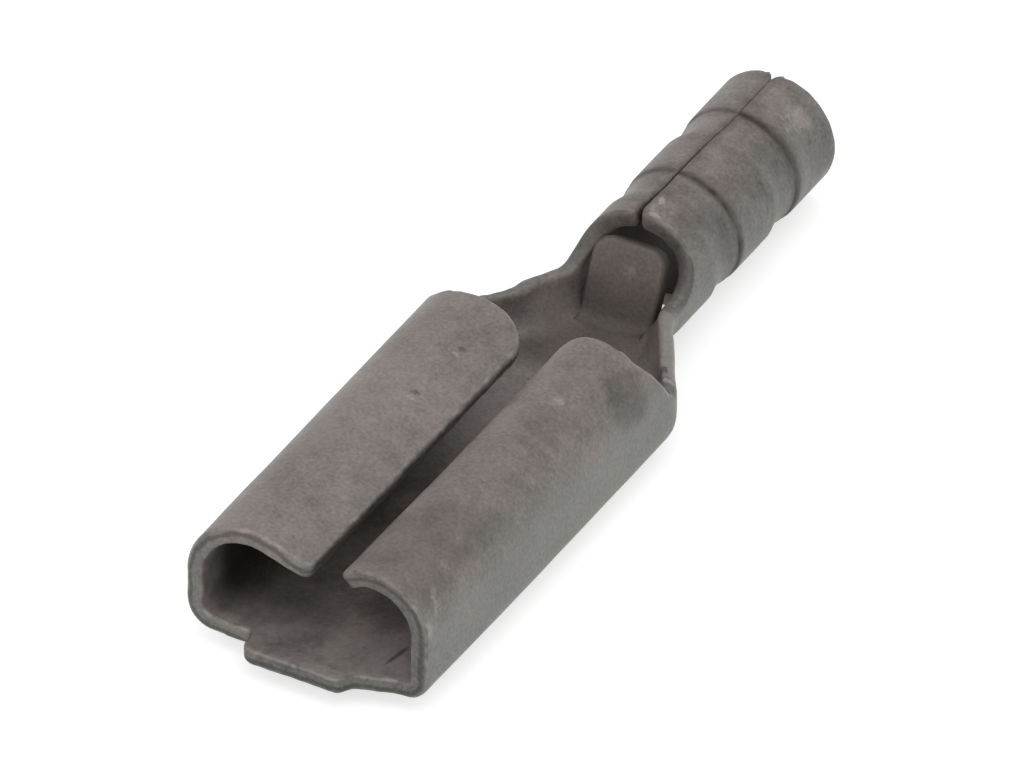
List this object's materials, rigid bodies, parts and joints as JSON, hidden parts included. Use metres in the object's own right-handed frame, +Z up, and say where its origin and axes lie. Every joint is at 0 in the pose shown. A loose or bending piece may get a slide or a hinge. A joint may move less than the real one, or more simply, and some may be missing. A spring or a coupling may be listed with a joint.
{
  "type": "female spade terminal",
  "caption": "Uninsulated female spade terminal folded from plated sheet: a rolled receptacle for a flat tab, a short neck with a raised wire stop, and a round wire barrel with a seam.",
  "frame": {"origin": "centre of the bounding box in X and Y, at the lowest line of the wire barrel", "axes": "+Y from the mouth towards the rear end of the wire barrel, +Z up from the floor towards the rolled edges, +X to the right when looking into the mouth"},
  "size_m": [0.0036, 0.0126, 0.002],
  "materials": {
    "tinned_brass": "dull tin plating, finely mottled and lightly scuffed"
  },
  "bodies": {
    "root": {"terminal": "tinned_brass"}
  },
  "joints": []
}
